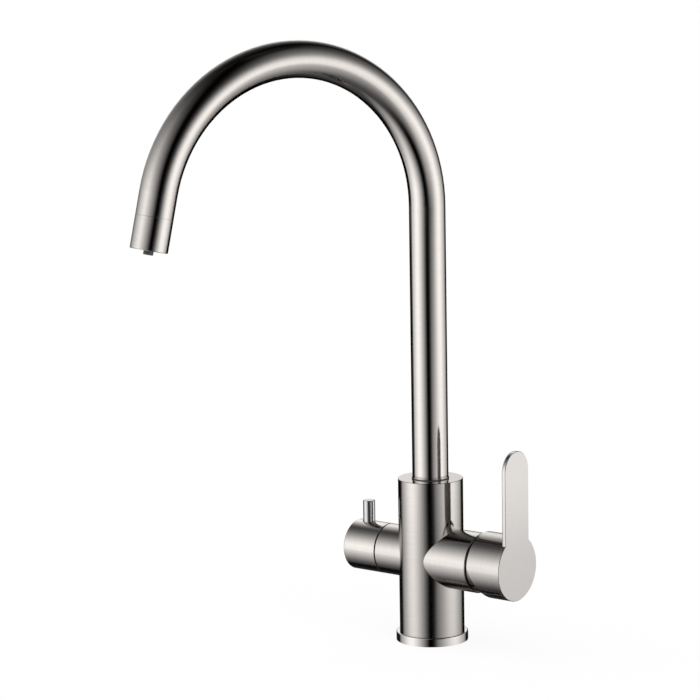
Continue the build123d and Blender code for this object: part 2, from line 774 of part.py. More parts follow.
def filter_plug():
    """Plug on the hose's lower end that turns in the middle of the body's socket."""
    plug = rod_z(plug_radius, plug_low, plug_top) + rod_z(barb_radius, plug_top, plug_top + barb_length)
    plug -= rod_z(plug_bore_radius, plug_low - overrun, plug_top + barb_length + overrun)
    groove = plug_seal_cord + fit_gap
    floor = plug_radius - 2 * plug_seal_cord
    height = plug_low + plug_seal_place
    return plug - ring_z(plug_radius + overrun, floor, height - groove, height + groove)


def filter_plug_seal():
    """Rubber ring on the plug."""
    return cord_ring_z(plug_radius - plug_seal_cord, plug_seal_cord, plug_low + plug_seal_place)


def tip_sleeve():
    """End sleeve of the spout, with a neck in the tube and a seat for the aerator."""
    sleeve = bevel_end(rod_z(tube_radius, 0, sleeve_length), Axis.Z, tip_edge, end=0)
    sleeve = bevel_end(sleeve, Axis.Z, sleeve_seam_edge)
    sleeve += rod_z(sleeve_neck_radius, sleeve_length, sleeve_length + sleeve_neck_length)
    sleeve -= rod_z(sleeve_neck_bore, -overrun, sleeve_length + sleeve_neck_length + overrun)
    sleeve -= rod_z(sleeve_bore, -overrun, aerator_seat)
    return tip_frame * sleeve


def hole_ring(radius, pitch_radius, low, high, count):
    """A ring of small upright holes."""
    holes = [Rot(0, 0, 360 * i / count) * rod_z(radius, low, high, pitch_radius) for i in range(count)]
    return holes


def aerator_housing():
    """Threaded insert with rings of outlets round the filtered-water nozzle."""
    housing = rod_z(aerator_radius, aerator_recess, aerator_top)
    housing -= rod_z(aerator_radius - aerator_rim_width, 0, aerator_recess + aerator_rim_height)
    housing -= rod_z(nozzle_hole_radius, -overrun, aerator_top + overrun)
    inner_row = (nozzle_hole_radius + aerator_radius - aerator_rim_width) / 2
    outer_row = aerator_radius - aerator_rim_width - 2 * aerator_hole_radius
    for row, count in ((inner_row, aerator_inner_holes), (outer_row, aerator_outer_holes)):
        for hole in hole_ring(aerator_hole_radius, row, -overrun, aerator_top + overrun, count):
            housing -= hole
    return tip_frame * housing


def aerator_seal():
    """Rubber ring between the aerator and the sleeve's seat."""
    return tip_frame * ring_z(aerator_radius, aerator_radius - aerator_seal_width, aerator_top, aerator_seat)


def aerator_screen():
    """Perforated disc inside the seal."""
    screen = ring_z(screen_radius, nozzle_hole_radius, aerator_top, screen_top)
    row = (nozzle_hole_radius + screen_radius) / 2
    for hole in hole_ring(screen_hole_radius, row, 0, screen_top + overrun, screen_holes):
        screen -= hole
    return tip_frame * screen


def filter_nozzle():
    """Small outlet for filtered water through the middle of the aerator."""
    nozzle = bevel_end(rod_z(nozzle_radius, -nozzle_proud, screen_top), Axis.Z, nozzle_edge, end=0)
    nozzle += rod_z(hose_radius, screen_top, nozzle_shoulder_top)
    nozzle += rod_z(barb_radius, nozzle_shoulder_top, nozzle_top)
    return tip_frame * (nozzle - rod_z(nozzle_bore_radius, -nozzle_proud - overrun, nozzle_top + overrun))


PIECES = (
    body_shell, base_flange, base_seal, spout_glide_ring, spout_retaining_screw,
    cartridge_base, cartridge_seals, cartridge_shell, mixer_fixed_disc, clamp_nut, cover_ring,
    mixer_carrier, carrier_seal, stem_pin, mixer_moving_disc, disc_slider,
    stem, lever_hub, lever_plate, lever_grub_screw, lever_plug_cap,
    filter_valve_body, filter_seat_seal, filter_fixed_disc,
    filter_moving_disc, filter_spindle, spindle_seal, filter_knob, knob_pin, knob_grub_screw,
    spout_tube, spout_spigot, spigot_seals, filter_plug, filter_plug_seal, filter_hose,
    tip_sleeve, aerator_housing, aerator_seal, aerator_screen, filter_nozzle,
)

for piece in PIECES:
    export_step(piece(), f"parts/{piece.__name__}.step")
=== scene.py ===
"""Looks for a kitchen faucet: brushed steel swan neck, side lever, filter knob and studio.

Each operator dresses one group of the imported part's pieces, and the last one builds the studio.
"""

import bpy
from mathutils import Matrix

bl_info = {
    "name": "Swan-neck faucet looks",
    "version": (1, 0, 0),
    "blender": (4, 5, 0),
    "location": "3D View > Sidebar > Faucet",
    "description": "Dresses a three-way kitchen faucet in brushed steel and sets its studio",
    "category": "Object",
}

import math

import bpy

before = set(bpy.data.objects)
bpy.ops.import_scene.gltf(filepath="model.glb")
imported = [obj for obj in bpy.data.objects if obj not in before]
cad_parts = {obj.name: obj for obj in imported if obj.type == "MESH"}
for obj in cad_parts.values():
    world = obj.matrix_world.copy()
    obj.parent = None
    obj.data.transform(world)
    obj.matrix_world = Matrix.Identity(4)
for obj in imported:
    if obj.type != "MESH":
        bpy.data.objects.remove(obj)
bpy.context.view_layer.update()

# Places on the part that the finishes follow, in metres
SIDE_AXIS_HEIGHT = 0.0594       # the axis that both side valves share
BODY_RADIUS = 0.0225
ARM_START = 1.002               # the side arms start this many body radii from the middle
HOUSING_FACE = 0.0434           # past here the housing's end faces the gap behind the lever
HUB_RADIUS = 0.02255
HUB_BORE_RADIUS = 0.0212
HUB_BORE_END = 0.0682
PLATE_BACK = 0.0702             # the lever's plate, from its back to its face
PLATE_FACE = 0.0729
PLATE_RIM = 0.0005              # how far the finishes of face and back come round its edge
TUBE_RADIUS = 0.0125
ARC_RADIUS = 0.104              # of the swan neck's centre line
ARC_HEIGHT = 0.3033             # of the arc's centre
ARC_SWEEP = math.radians(167.4)
SPOUT_DIRECTION = math.radians(-110.2)  # where the spout points at rest

# The brushing that every steel piece shares
SCRATCHES_ROUND = (6.0, 1.5)    # how often fine scratches and broad streaks change round a piece
PLATE_CHANGES_PER_METRE = 12.0  # the same along the flat plate, as a multiple of those numbers
SCRATCH_DETAIL = 3.0            # how many finer layers the marks have, and how strong they are
SCRATCH_GRIT = 0.6
ROUGHER_SCRATCHES = 0.8         # shares of a piece's roughness that its marks add and take away
ROUGHER_STREAKS = 0.5
TONE_REACH = 0.1                # how far the darkest and lightest marks are from the piece's tone
POLISHED_GRAIN = 0.2            # how much of the grain the foot and the lever's plate keep

# The other finishes: how many marks there are in a metre, and how deep they are in metres
TURNED_MARKS = (900.0, 0.00001)
POLISHED_MARKS = (2500.0, 0.000001)
MOULDED_SKIN = (1500.0, 0.00002)
RUBBER_SKIN = (2500.0, 0.00002)
LAPPED_SKIN = (4000.0, 0.000002)
METAL_CLOUD_WIDTH = 12.0        # how many marks wide the clouds of tone are
METAL_CLOUD_TONE = 0.8          # how light the darkest cloud is
SKIN_CLOUD_WIDTH = 20.0
SKIN_CLOUD_TONES = (0.85, 1.15)
SKIN_ROUGHNESS_REACH = 0.2      # how much rougher the skin's highest places are than its lowest

MIDDLE = 0.5                    # a noise's average, and halfway along a ramp


class Value:
    """A shader socket. Sums and products of it add Math nodes to its tree."""

    def __init__(self, tree, socket):
        self.tree = tree
        self.socket = socket

    def maths(self, operation, *values):
        return self.tree.node("ShaderNodeMath", dict(enumerate(values)), operation=operation)

    def __add__(self, other):
        return self.maths("ADD", self, other)

    __radd__ = __add__

    def __sub__(self, other):
        return self.maths("SUBTRACT", self, other)

    def __rsub__(self, other):
        return self.maths("SUBTRACT", other, self)

    def __mul__(self, other):
        return self.maths("MULTIPLY", self, other)

    __rmul__ = __mul__

    def __truediv__(self, other):
        return self.maths("DIVIDE", self, other)

    def __gt__(self, other):
        return self.maths("GREATER_THAN", self, other)

    def __lt__(self, other):
        return self.maths("LESS_THAN", self, other)

    def root(self):
        return self.maths("SQRT", self)

    def larger(self, other):
        return self.maths("MAXIMUM", self, other)

    def clipped(self):
        return self.maths("MAXIMUM", 0.0, self.maths("MINIMUM", 1.0, self))

    def angle_from(self, other):
        """The angle whose sine side is this value and whose cosine side is the other one."""
        return self.maths("ARCTAN2", self, other)


class Nodes:
    """The node tree of a material or of the world."""

    def __init__(self, owner):
        owner.use_nodes = True
        self.tree = owner.node_tree
        self.tree.nodes.clear()

    def node(self, kind, inputs=None, output=0, stops=None, **settings):
        """Adds one node. Its settings come first, then the values or links of its sockets.

        A ramp's stops are (place, shade of grey). Output is the socket that it gives back, by name
        or number, or a tuple of names for several.
        """
        made = self.tree.nodes.new(kind)
        for name, value in settings.items():
            setattr(made, name, value)
        if stops:
            elements = made.color_ramp.elements
            for _ in stops[2:]:
                elements.new(MIDDLE)
            for element, (place, shade) in zip(elements, sorted(stops)):
                element.position = place
                element.color = coloured((shade, shade, shade))
        for key, value in (inputs or {}).items():
            if isinstance(value, Value):
                self.tree.links.new(value.socket, made.inputs[key])
            else:
                made.inputs[key].default_value = value
        if isinstance(output, tuple):
            return [Value(self, made.outputs[name]) for name in output]
        return Value(self, made.outputs[output]) if made.outputs else None

    def point(self):
        """The shaded point on the part's own axes, in metres."""
        return self.node("ShaderNodeTexCoord", output="Object")

    def place(self):
        """X, Y and Z of the shaded point."""
        point = self.point()
        return self.node("ShaderNodeSeparateXYZ", {"Vector": point}, output=("X", "Y", "Z"))

    def join(self, x, y, z):
        return self.node("ShaderNodeCombineXYZ", {0: x, 1: y, 2: z})

    def noise(self, vector, scale, detail=2.0, roughness=0.5):
        inputs = {"Vector": vector, "Scale": scale, "Detail": detail, "Roughness": roughness}
        return self.node("ShaderNodeTexNoise", inputs, output="Fac")

    def blend(self, share, first, second):
        """A colour between two, by a share from 0 to 1."""
        colours = {0: share, 6: first, 7: second}
        return self.node("ShaderNodeMix", colours, output=2, data_type="RGBA")

    def ramp(self, value, stops):
        return self.node("ShaderNodeValToRGB", {"Fac": value}, stops=stops)

    def between(self, value, low, high, first=0.0, last=1.0):
        """First up to low, last from high on, and an even change from one to the other."""
        return self.node("ShaderNodeMapRange", {0: value, 1: low, 2: high, 3: first, 4: last})

    def bump(self, height, depth):
        return self.node("ShaderNodeBump", {"Height": height, "Distance": depth})

    def mixed(self, share, first, second):
        """A shader between two, by a share from 0 to 1."""
        return self.node("ShaderNodeMixShader", {0: share, 1: first, 2: second})

    def glow(self, colour):
        """A shader that shows a colour as it is, whatever light falls on it."""
        return self.node("ShaderNodeEmission", {"Color": colour, "Strength": 1.0})

    def show(self, shader):
        self.node("ShaderNodeOutputMaterial", {"Surface": shader})

    def surface(self, inputs):
        """Shows a Principled surface with these sockets."""
        self.show(self.node("ShaderNodeBsdfPrincipled", inputs))


def coloured(colour):
    """A colour with its alpha, as shader sockets take it."""
    return (*colour, 1.0)


def shaded(colour, lightness):
    """A colour made darker or lighter, with its alpha."""
    return coloured([min(1.0, part * lightness) for part in colour[:3]])


def distance(first, *others):
    """How long a line is that reaches this far along each of its axes."""
    total = first * first
    for other in others:
        total = total + other * other
    return total.root()


def dress(material, *names):
    """Gives a material to carried-over pieces, in their own material slots."""
    for name in names:
        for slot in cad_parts[name].material_slots:
            slot.material = material


# Ways that a piece is brushed. Each gives the place across the scratches, in metres, and the sine
# and cosine of the direction round the piece.


def turned_upright(tree):
    """Rings round the upright axis, on the side and on flat ends alike."""
    x, y, z = tree.place()
    radius = distance(x, y)
    return z + radius, x / radius, y / radius


def turned_sideways(tree):
    """Rings round the axis of the side valves."""
    x, y, z = tree.place()
    up = z - SIDE_AXIS_HEIGHT
    radius = distance(y, up)
    return x + radius, y / radius, up / radius


def turned_both(tree):
    """The body: upright rings on its cylinder, rings round the side axis on its two side arms."""
    x, y = tree.place()[:2]
    upright = turned_upright(tree)
    sideways = turned_sideways(tree)
    arm = distance(x, y) > BODY_RADIUS * ARM_START
    return tuple(s * arm + u * (1.0 - arm) for s, u in zip(sideways, upright))


def along_swan_neck(tree):
    """Rings round the spout's centre line: up the riser, over the arc, down the tail."""
    x, y, z = tree.place()
    ahead_x, ahead_y = math.cos(SPOUT_DIRECTION), math.sin(SPOUT_DIRECTION)
    ahead = x * ahead_x + y * ahead_y
    aside = y * ahead_x - x * ahead_y
    rise = z - ARC_HEIGHT
    back = ARC_RADIUS - ahead
    turn = rise.angle_from(back)
    end_ahead = ARC_RADIUS * (1.0 - math.cos(ARC_SWEEP))
    end_rise = ARC_RADIUS * math.sin(ARC_SWEEP)
    past = (ahead - end_ahead) * math.sin(ARC_SWEEP) + (rise - end_rise) * math.cos(ARC_SWEEP)
    on_tail = (past > 0.0) * (back < 0.0)
    on_riser = (rise < 0.0) * (back > 0.0)
    on_arc = 1.0 - on_tail - on_riser
    length = on_riser * z + on_arc * (turn * ARC_RADIUS + ARC_HEIGHT)
    length = length + on_tail * (past + (ARC_HEIGHT + ARC_RADIUS * ARC_SWEEP))
    outward = distance(rise, back) - ARC_RADIUS
    outward = on_arc * outward + on_riser * (0.0 - ahead) + on_tail * (ahead - end_ahead)
    return length, aside / TUBE_RADIUS, outward / TUBE_RADIUS


def straight_up(tree):
    """Straight fine scratches up the lever's plate, closed round its edges."""
    x, y, z = tree.place()
    return y + x, z * PLATE_CHANGES_PER_METRE, x * PLATE_CHANGES_PER_METRE


# Zones of a piece that differ from the rest of it, as painted shade in recesses or as the plate's
# own finish. Each is 1 there and 0 elsewhere.


def housing_end_shade(tree):
    """The housing's end, deep in the gap behind the lever, where painted shade darkens it."""
    return tree.place()[0] > HOUSING_FACE


def hub_hollow_shade(tree):
    """The hollow of the lever's hub, where painted shade darkens it."""
    x, y, z = tree.place()
    return (distance(y, z - SIDE_AXIS_HEIGHT) < HUB_BORE_RADIUS) * (x < HUB_BORE_END)


def plate_edge(tree):
    """All of the lever's plate but its face."""
    return tree.place()[0] < PLATE_FACE - PLATE_RIM


def blade_back(tree):
    """The back of the lever's blade, and the back rim of its edge."""
    x, y, z = tree.place()
    return (distance(y, z - SIDE_AXIS_HEIGHT) > HUB_RADIUS) * (x < PLATE_BACK + PLATE_RIM)


def brushed_steel(name, look, way, zones=(), colour=None, tone=1.0, roughness=None, grain=1.0):
    """Satin steel: fine scratches that spread its reflections, and broader faint streaks.

    Its colour and roughness are the shared ones unless given. Tone is how light the colour is; the
    body, hub and cover ring take darker tones as painted shade, and grain scales the contrast of
    the marks. Each zone is a share over the piece, how light the shared colour is there and the
    roughness that it adds.
    """
    material = bpy.data.materials.new(name)
    tree = Nodes(material)
    across, side, up = way(tree)
    round_fine, round_broad = SCRATCHES_ROUND
    fine = tree.join(across / look.scratch_width, side * round_fine, up * round_fine)
    broad = tree.join(across / look.streak_width, side * round_broad, up * round_broad)
    scratches = tree.noise(fine, 1.0, SCRATCH_DETAIL, SCRATCH_GRIT) - MIDDLE
    streaks = tree.noise(broad, 1.0) - MIDDLE
    marks = scratches * (look.scratch_contrast * grain) + streaks * (look.streak_contrast * grain)
    plain = shaded(colour or look.colour, tone)
    dark, light = shaded(plain, 1.0 - TONE_REACH), shaded(plain, 1.0 + TONE_REACH)
    steel = tree.blend((marks + MIDDLE).clipped(), dark, light)
    base = look.roughness if roughness is None else roughness
    satin = base + scratches * (ROUGHER_SCRATCHES * base) + streaks * (ROUGHER_STREAKS * base)
    # The zones paint shade into the recesses, or give the lever's plate its edge and back finish.
    for zone, lightness, dullness in zones:
        share = zone(tree)
        steel = tree.blend(share, steel, shaded(look.colour, lightness))
        satin = satin + share * dullness
    tree.surface({
        "Base Color": steel,
        "Metallic": 1.0,
        "Roughness": satin,
        "Normal": tree.bump(scratches, look.scratch_depth * grain),
    })
    return material


def plain_metal(name, colour, roughness, marked=TURNED_MARKS):
    """Turned or drawn metal with fine random marks."""
    material = bpy.data.materials.new(name)
    tree = Nodes(material)
    point = tree.point()
    scale, depth = marked
    marks = tree.noise(point, scale, SCRATCH_DETAIL)
    cloud = tree.noise(point, scale / METAL_CLOUD_WIDTH)
    tree.surface({
        "Base Color": tree.blend(cloud, coloured(colour), shaded(colour, METAL_CLOUD_TONE)),
        "Metallic": 1.0,
        "Roughness": roughness + (marks - MIDDLE) * (ROUGHER_SCRATCHES * roughness),
        "Normal": tree.bump(marks, depth),
    })
    return material


def moulded(name, colour, roughness, skinned=MOULDED_SKIN):
    """A moulded plastic, rubber or pressed ceramic, with its fine skin."""
    material = bpy.data.materials.new(name)
    tree = Nodes(material)
    point = tree.point()
    scale, depth = skinned
    skin = tree.noise(point, scale, SCRATCH_DETAIL)
    cloud = tree.noise(point, scale / SKIN_CLOUD_WIDTH)
    dark, light = (shaded(colour, tone) for tone in SKIN_CLOUD_TONES)
    tree.surface({
        "Base Color": tree.blend(cloud, dark, light),
        "Roughness": roughness + (skin - MIDDLE) * SKIN_ROUGHNESS_REACH,
        "Normal": tree.bump(skin, depth),
    })
    return material


def colour_property(name, description, colour):
    return bpy.props.FloatVectorProperty(name=name, description=description, subtype="COLOR",
                                         size=3, min=0.0, max=1.0, default=colour)


def share_property(name, description, share):
    return bpy.props.FloatProperty(name=name, description=description, subtype="FACTOR",
                                   min=0.0, max=1.0, default=share)


def length_property(name, description, length, precision=2):
    return bpy.props.FloatProperty(name=name, description=description, unit="LENGTH",
                                   precision=precision, default=length)


def number_property(name, description, number):
    return bpy.props.FloatProperty(name=name, description=description, default=number)


class FaucetSteelLook(bpy.types.PropertyGroup):
    """The brushed steel that most pieces share."""

    colour: colour_property(
        "Steel colour", "Reflected colour of the brushed steel", (0.66, 0.625, 0.595))
    plate_colour: colour_property(
        "Plate colour", "Reflected colour of the lever's paler plate", (0.828, 0.796, 0.771))
    roughness: share_property(
        "Steel roughness", "How far the satin finish blurs reflections", 0.10)
    plate_roughness: share_property(
        "Plate roughness", "How far the lever's plate blurs reflections", 0.2)
    foot_roughness: share_property(
        "Foot roughness", "How far the polished foot blurs reflections", 0.03)
    foot_colour: colour_property(
        "Foot colour", "Reflected colour of the polished foot", (0.80, 0.77, 0.74))
    # Painted shade: how dark the shade painted into the housing's end behind the lever and into the
    # hub's hollow is.
    hollow_shade_tone: share_property("Recess tone", "How light the unpolished hollows are", 0.12)
    # Painted shade: the hub and plug cap are a darker copy of the shared steel, for their dimmer
    # reflections.
    hub_shade_tone: share_property("Hub tone", "How light the lever's hub is", 0.87)
    # Painted shade: the body is a darker copy of the shared steel, for its dimmer reflections.
    body_shade_tone: share_property("Body tone", "How light the body is", 0.93)
    edge_tone: share_property("Edge tone", "How light the edge of the lever's plate is", 0.92)
    back_tone: share_property(
        "Back tone", "How light the unpolished back of the lever's blade is", 0.8)
    back_dullness: share_property(
        "Back dullness", "Roughness that the unpolished back of the blade adds", 0.4)
    # Painted shade: the cover ring in the gap behind the lever is a darker copy of the shared
    # steel.
    ring_shade_tone: share_property("Ring tone", "How light the ring behind the lever is", 0.6)
    scratch_width: length_property("Scratch width", "Width of one fine scratch", 0.00025, 5)
    scratch_depth: length_property("Scratch depth", "Depth of the fine scratches", 0.000012, 6)
    scratch_contrast: share_property(
        "Scratch contrast", "How much the fine scratches differ in tone", 0.45)
    streak_width: length_property("Streak width", "Width of the broader streaks", 0.0014, 5)
    streak_contrast: share_property(
        "Streak contrast", "How much the broader streaks differ in tone", 0.5)


class FaucetTrimLook(bpy.types.PropertyGroup):
    """The pieces that aren't brushed steel."""

    pin: colour_property("Pin", "Reflected colour of the knob's polished pin", (0.70, 0.69, 0.68))
    brass: colour_property(
        "Brass", "Turned brass of the nut, stem and filter valve", (0.72, 0.56, 0.28))
    screw: colour_property(
        "Screws", "Steel of the grub screws and the stem's pin", (0.45, 0.45, 0.46))
    aerator: colour_property("Aerator", "Grey plastic of the aerator", (0.30, 0.31, 0.32))
    nozzle: colour_property(
        "Nozzle", "Dark plastic of the filtered-water nozzle", (0.08, 0.085, 0.085))
    hose: colour_property("Hose", "White plastic of the inner hose", (0.85, 0.86, 0.84))
    cartridge: colour_property("Cartridge", "White plastic of the cartridge", (0.80, 0.80, 0.78))
    ceramic: colour_property("Ceramic", "Lapped discs of both valves", (0.90, 0.89, 0.86))
    rubber: colour_property("Rubber", "Seals and O-rings", (0.03, 0.03, 0.03))


class FaucetStageLook(bpy.types.PropertyGroup):
    """The studio."""

    floor_colour: colour_property(
        "Floor colour", "Colour of the plain pale floor", (0.8, 0.8, 0.8))
    floor_size: length_property("Floor size", "Side of the square floor", 16.0)
    left_softbox: number_property(
        "Left softbox", "Brightness of the softbox on the camera's left", 1.6)
    right_softbox: number_property(
        "Right softbox", "Brightness of the softbox on the camera's right", 1.6)
    back_softbox: number_property(
        "Back softbox", "Brightness of the softbox behind the faucet", 1.3)
    tent_radius: length_property("Tent radius", "Radius of the light tent round the faucet", 3.0)
    camera_place: bpy.props.FloatVectorProperty(
        name="Camera place", description="Where the camera stands", subtype="TRANSLATION", size=3,
        default=(1.1752386, -1.5640979, 0.5199276))
    camera_turn: bpy.props.FloatVectorProperty(
        name="Camera turn", description="How the camera is turned", subtype="EULER", size=3,
        default=tuple(math.radians(angle) for angle in (80.835379, 0.941930, 38.354096)))
    camera_lens: number_property(
        "Lens", "Focal length in millimetres on a 36 mm sensor", 148.4427)


class FAUCET_OT_body(bpy.types.Operator):
    """Dress the body, its foot and its cover ring in brushed steel"""

    bl_idname = "faucet.body"
    bl_label = "Body and foot"

    def execute(self, context):
        look = context.scene.faucet_steel
        # The housing's end in the gap behind the lever takes painted shade.
        painted_hollow_shade = ((housing_end_shade, look.hollow_shade_tone, 0.0),)
        # The body's darker tone is painted shade for its dimmer reflections.
        body = brushed_steel("body_steel_painted_shade", look, turned_both, painted_hollow_shade, tone=look.body_shade_tone)
        dress(body, "body_shell")
        foot = brushed_steel("polished_foot_steel", look, turned_upright, colour=look.foot_colour,
                             roughness=look.foot_roughness, grain=POLISHED_GRAIN)
        dress(foot, "base_flange")
        # The cover ring takes a darker tone as painted shade for the gap behind the lever.
        ring = brushed_steel("ring_steel_painted_shade", look, turned_sideways, tone=look.ring_shade_tone)
        dress(ring, "cover_ring")
        return {"FINISHED"}


class FAUCET_OT_spout(bpy.types.Operator):
    """Dress the swan neck, its tip sleeve and its collar in brushed steel"""

    bl_idname = "faucet.spout"
    bl_label = "Swan-neck spout"

    def execute(self, context):
        look = context.scene.faucet_steel
        neck = brushed_steel("brushed_spout_steel", look, along_swan_neck)
        dress(neck, "spout_tube", "tip_sleeve")
        dress(brushed_steel("brushed_collar_steel", look, turned_upright), "spout_spigot")
        return {"FINISHED"}


class FAUCET_OT_lever(bpy.types.Operator):
    """Dress the mixer lever's hub, plate and plug cap"""

    bl_idname = "faucet.lever"
    bl_label = "Mixer lever"

    def execute(self, context):
        look = context.scene.faucet_steel
        # The hub's hollow takes painted shade.
        painted_hollow_shade = ((hub_hollow_shade, look.hollow_shade_tone, 0.0),)
        # The hub's darker tone is painted shade for its dimmer reflections.
        hub = brushed_steel("hub_steel_painted_shade", look, turned_sideways, painted_hollow_shade, tone=look.hub_shade_tone)
        dress(hub, "lever_hub", "lever_plug_cap")
        zones = ((plate_edge, look.edge_tone, 0.0),
                 (blade_back, look.back_tone, look.back_dullness))
        plate = brushed_steel("satin_plate_steel", look, straight_up, zones,
                              colour=look.plate_colour, roughness=look.plate_roughness,
                              grain=POLISHED_GRAIN)
        dress(plate, "lever_plate")
        return {"FINISHED"}


class FAUCET_OT_knob(bpy.types.Operator):
    """Dress the filter knob and its polished pin"""

    bl_idname = "faucet.knob"
    bl_label = "Filter knob"

    def execute(self, context):
        look = context.scene.faucet_steel
        dress(brushed_steel("brushed_knob_steel", look, turned_sideways), "filter_knob")
        trim = context.scene.faucet_trim
        pin = plain_metal("polished_pin_chrome", trim.pin, roughness=0.06, marked=POLISHED_MARKS)
        dress(pin, "knob_pin")
        return {"FINISHED"}


class FAUCET_OT_outlet(bpy.types.Operator):
    """Dress the aerator, the filtered-water nozzle and its hose, and the spout's glide ring"""

    bl_idname = "faucet.outlet"
    bl_label = "Outlets"

    def execute(self, context):
        trim = context.scene.faucet_trim
        aerator = moulded("aerator_plastic_grey", trim.aerator, roughness=0.5)
        dress(aerator, "aerator_housing", "aerator_screen")
        nozzle = moulded("nozzle_plastic_dark", trim.nozzle, roughness=0.4)
        dress(nozzle, "filter_nozzle", "spout_glide_ring")
        dress(moulded("hose_plastic_white", trim.hose, roughness=0.35), "filter_hose")
        return {"FINISHED"}


class FAUCET_OT_valves(bpy.types.Operator):
    """Dress the cartridge, the filter valve, the seals and the screws inside"""

    bl_idname = "faucet.valves"
    bl_label = "Valves and seals"

    def execute(self, context):
        trim = context.scene.faucet_trim
        cartridge = moulded("cartridge_plastic_white", trim.cartridge, roughness=0.45)
        dress(cartridge, "cartridge_shell", "cartridge_base", "mixer_carrier", "disc_slider")
        ceramic = moulded("lapped_ceramic", trim.ceramic, roughness=0.15, skinned=LAPPED_SKIN)
        dress(ceramic, "mixer_fixed_disc", "mixer_moving_disc", "filter_fixed_disc",
              "filter_moving_disc")
        rubber = moulded("seal_rubber_black", trim.rubber, roughness=0.6, skinned=RUBBER_SKIN)
        dress(rubber, "base_seal", "cartridge_seals", "carrier_seal", "filter_seat_seal",
              "spindle_seal", "spigot_seals", "filter_plug_seal", "aerator_seal")
        brass = plain_metal("turned_brass", trim.brass, roughness=0.3)
        dress(brass, "clamp_nut", "stem", "filter_valve_body", "filter_spindle", "filter_plug")
        screw = plain_metal("screw_steel", trim.screw, roughness=0.35)
        dress(screw, "spout_retaining_screw", "lever_grub_screw", "knob_grub_screw", "stem_pin")
        return {"FINISHED"}


# The softboxes on the tent's wall. Facing is a softbox's place round the tent in degrees. Its
# fall-off across is (degrees off its middle, share), low down and high up, and change has the
# heights in degrees between which the first turns into the second. Upward is its fall-off in
# height, as (degrees above the horizon, share). Light that comes off a second surface shows the
# fall-off of low down at every height.
LEFT_SOFTBOX = {
    "facing": -125.0,
    "low_across": (
        (-59, 0.0), (-54, 0.1), (-49, 0.26), (-42, 0.4), (-30, 0.57), (-18, 0.8), (-6, 0.97),
        (6, 1.0), (18, 0.82), (30, 0.57), (42, 0.32), (54, 0.09), (62, 0.0)),
    "high_across": (
        (-78, 0.03), (-66, 0.18), (-54, 0.3), (-42, 0.45), (-30, 0.57), (-18, 0.74), (-6, 0.88),
        (6, 1.0), (18, 0.85), (30, 0.62), (42, 0.42), (54, 0.24), (66, 0.08), (76, 0.0)),
    "change": (-5, 8),
    "upward": (
        (-85, 0.06), (-75, 0.12), (-65, 0.25), (-55, 0.41), (-35, 0.67), (-15, 0.92), (-5, 0.93),
        (5, 0.93), (15, 0.8), (25, 0.59), (35, 0.4), (45, 0.23), (55, 0.1), (65, 0.04),
        (75, 0.01)),
}
RIGHT_SOFTBOX = {
    "facing": 25.0,
    "low_across": (
        (-78, 0.0), (-70, 0.03), (-60, 0.21), (-48, 0.38), (-36, 0.55), (-24, 0.76), (-12, 0.93),
        (0, 1.0), (12, 0.92), (24, 0.72), (36, 0.57), (46, 0.42), (54, 0.18), (61, 0.0)),
    "high_across": (
        (-64, 0.0), (-56, 0.01), (-48, 0.06), (-41, 0.17), (-34, 0.34), (-26, 0.56), (-18, 0.8),
        (-10, 0.95), (0, 1.0), (12, 0.84), (24, 0.63), (36, 0.48), (48, 0.32), (60, 0.08),
        (70, 0.0)),
    "change": (-12, 4),
    "upward": (
        (-75, 0.01), (-65, 0.05), (-55, 0.16), (-45, 0.27), (-35, 0.37), (-25, 0.5), (-15, 0.84),
        (-5, 0.93), (5, 0.88), (15, 0.65), (25, 0.36), (35, 0.19), (45, 0.11), (55, 0.06),
        (65, 0.01)),
}
BACK_SOFTBOX = {
    "facing": 135.0,
    "low_across": (
        (-40, 0.0), (-30, 0.2), (-16, 0.5), (-12, 0.75), (-8, 0.97), (-3, 1.0), (3, 1.0),
        (14, 0.55), (29, 0.28), (42, 0.08), (50, 0.0)),
    "high_across": (
        (-46, 0.0), (-38, 0.12), (-26, 0.42), (-14, 0.85), (-6, 1.0), (8, 1.0), (18, 0.9),
        (28, 0.5), (38, 0.15), (48, 0.0)),
    "change": (28, 44),
    "upward": (
        (-5, 0.0), (0, 0.17), (5, 0.43), (10, 0.74), (15, 0.86), (20, 0.95), (25, 1.0),
        (30, 0.92), (37, 0.72), (45, 0.42), (50, 0.25), (55, 0.14), (65, 0.045), (85, 0.011)),
}
DIRECT_BOUNCES = 1.5            # a ray from the camera off one surface alone counts as direct
BACK_SOFTBOX_REFLECTED = 0.04   # share of the back softbox that shows off a second surface
# The back softbox hangs low and near, so metal high up sees less of it. Such metal is this much
# closer to the tent's wall along the ray, in metres, and sees these shares of it.
HIGH_METAL_NEARER = (0.09, 0.17)
HIGH_METAL_SHARES = (1.0, 0.42)
# How bright the tent is by itself, by degrees above the horizon
TENT_SHADE = ((-90, 0.08), (-65, 0.08), (-55, 0.05), (-45, 0.02), (-35, 0.001))
TENT_CENTRE_HEIGHT = 0.15       # of the point that the softboxes' degrees are seen from
TENT_SEGMENTS = 64
TENT_RINGS = 32
WHITE = (1.0, 1.0, 1.0, 1.0)
SKY_STRENGTH = 0.55             # the world's light on the object
FLOOR_WHITENESS = 0.92          # how far the camera's view of the floor is lifted to white
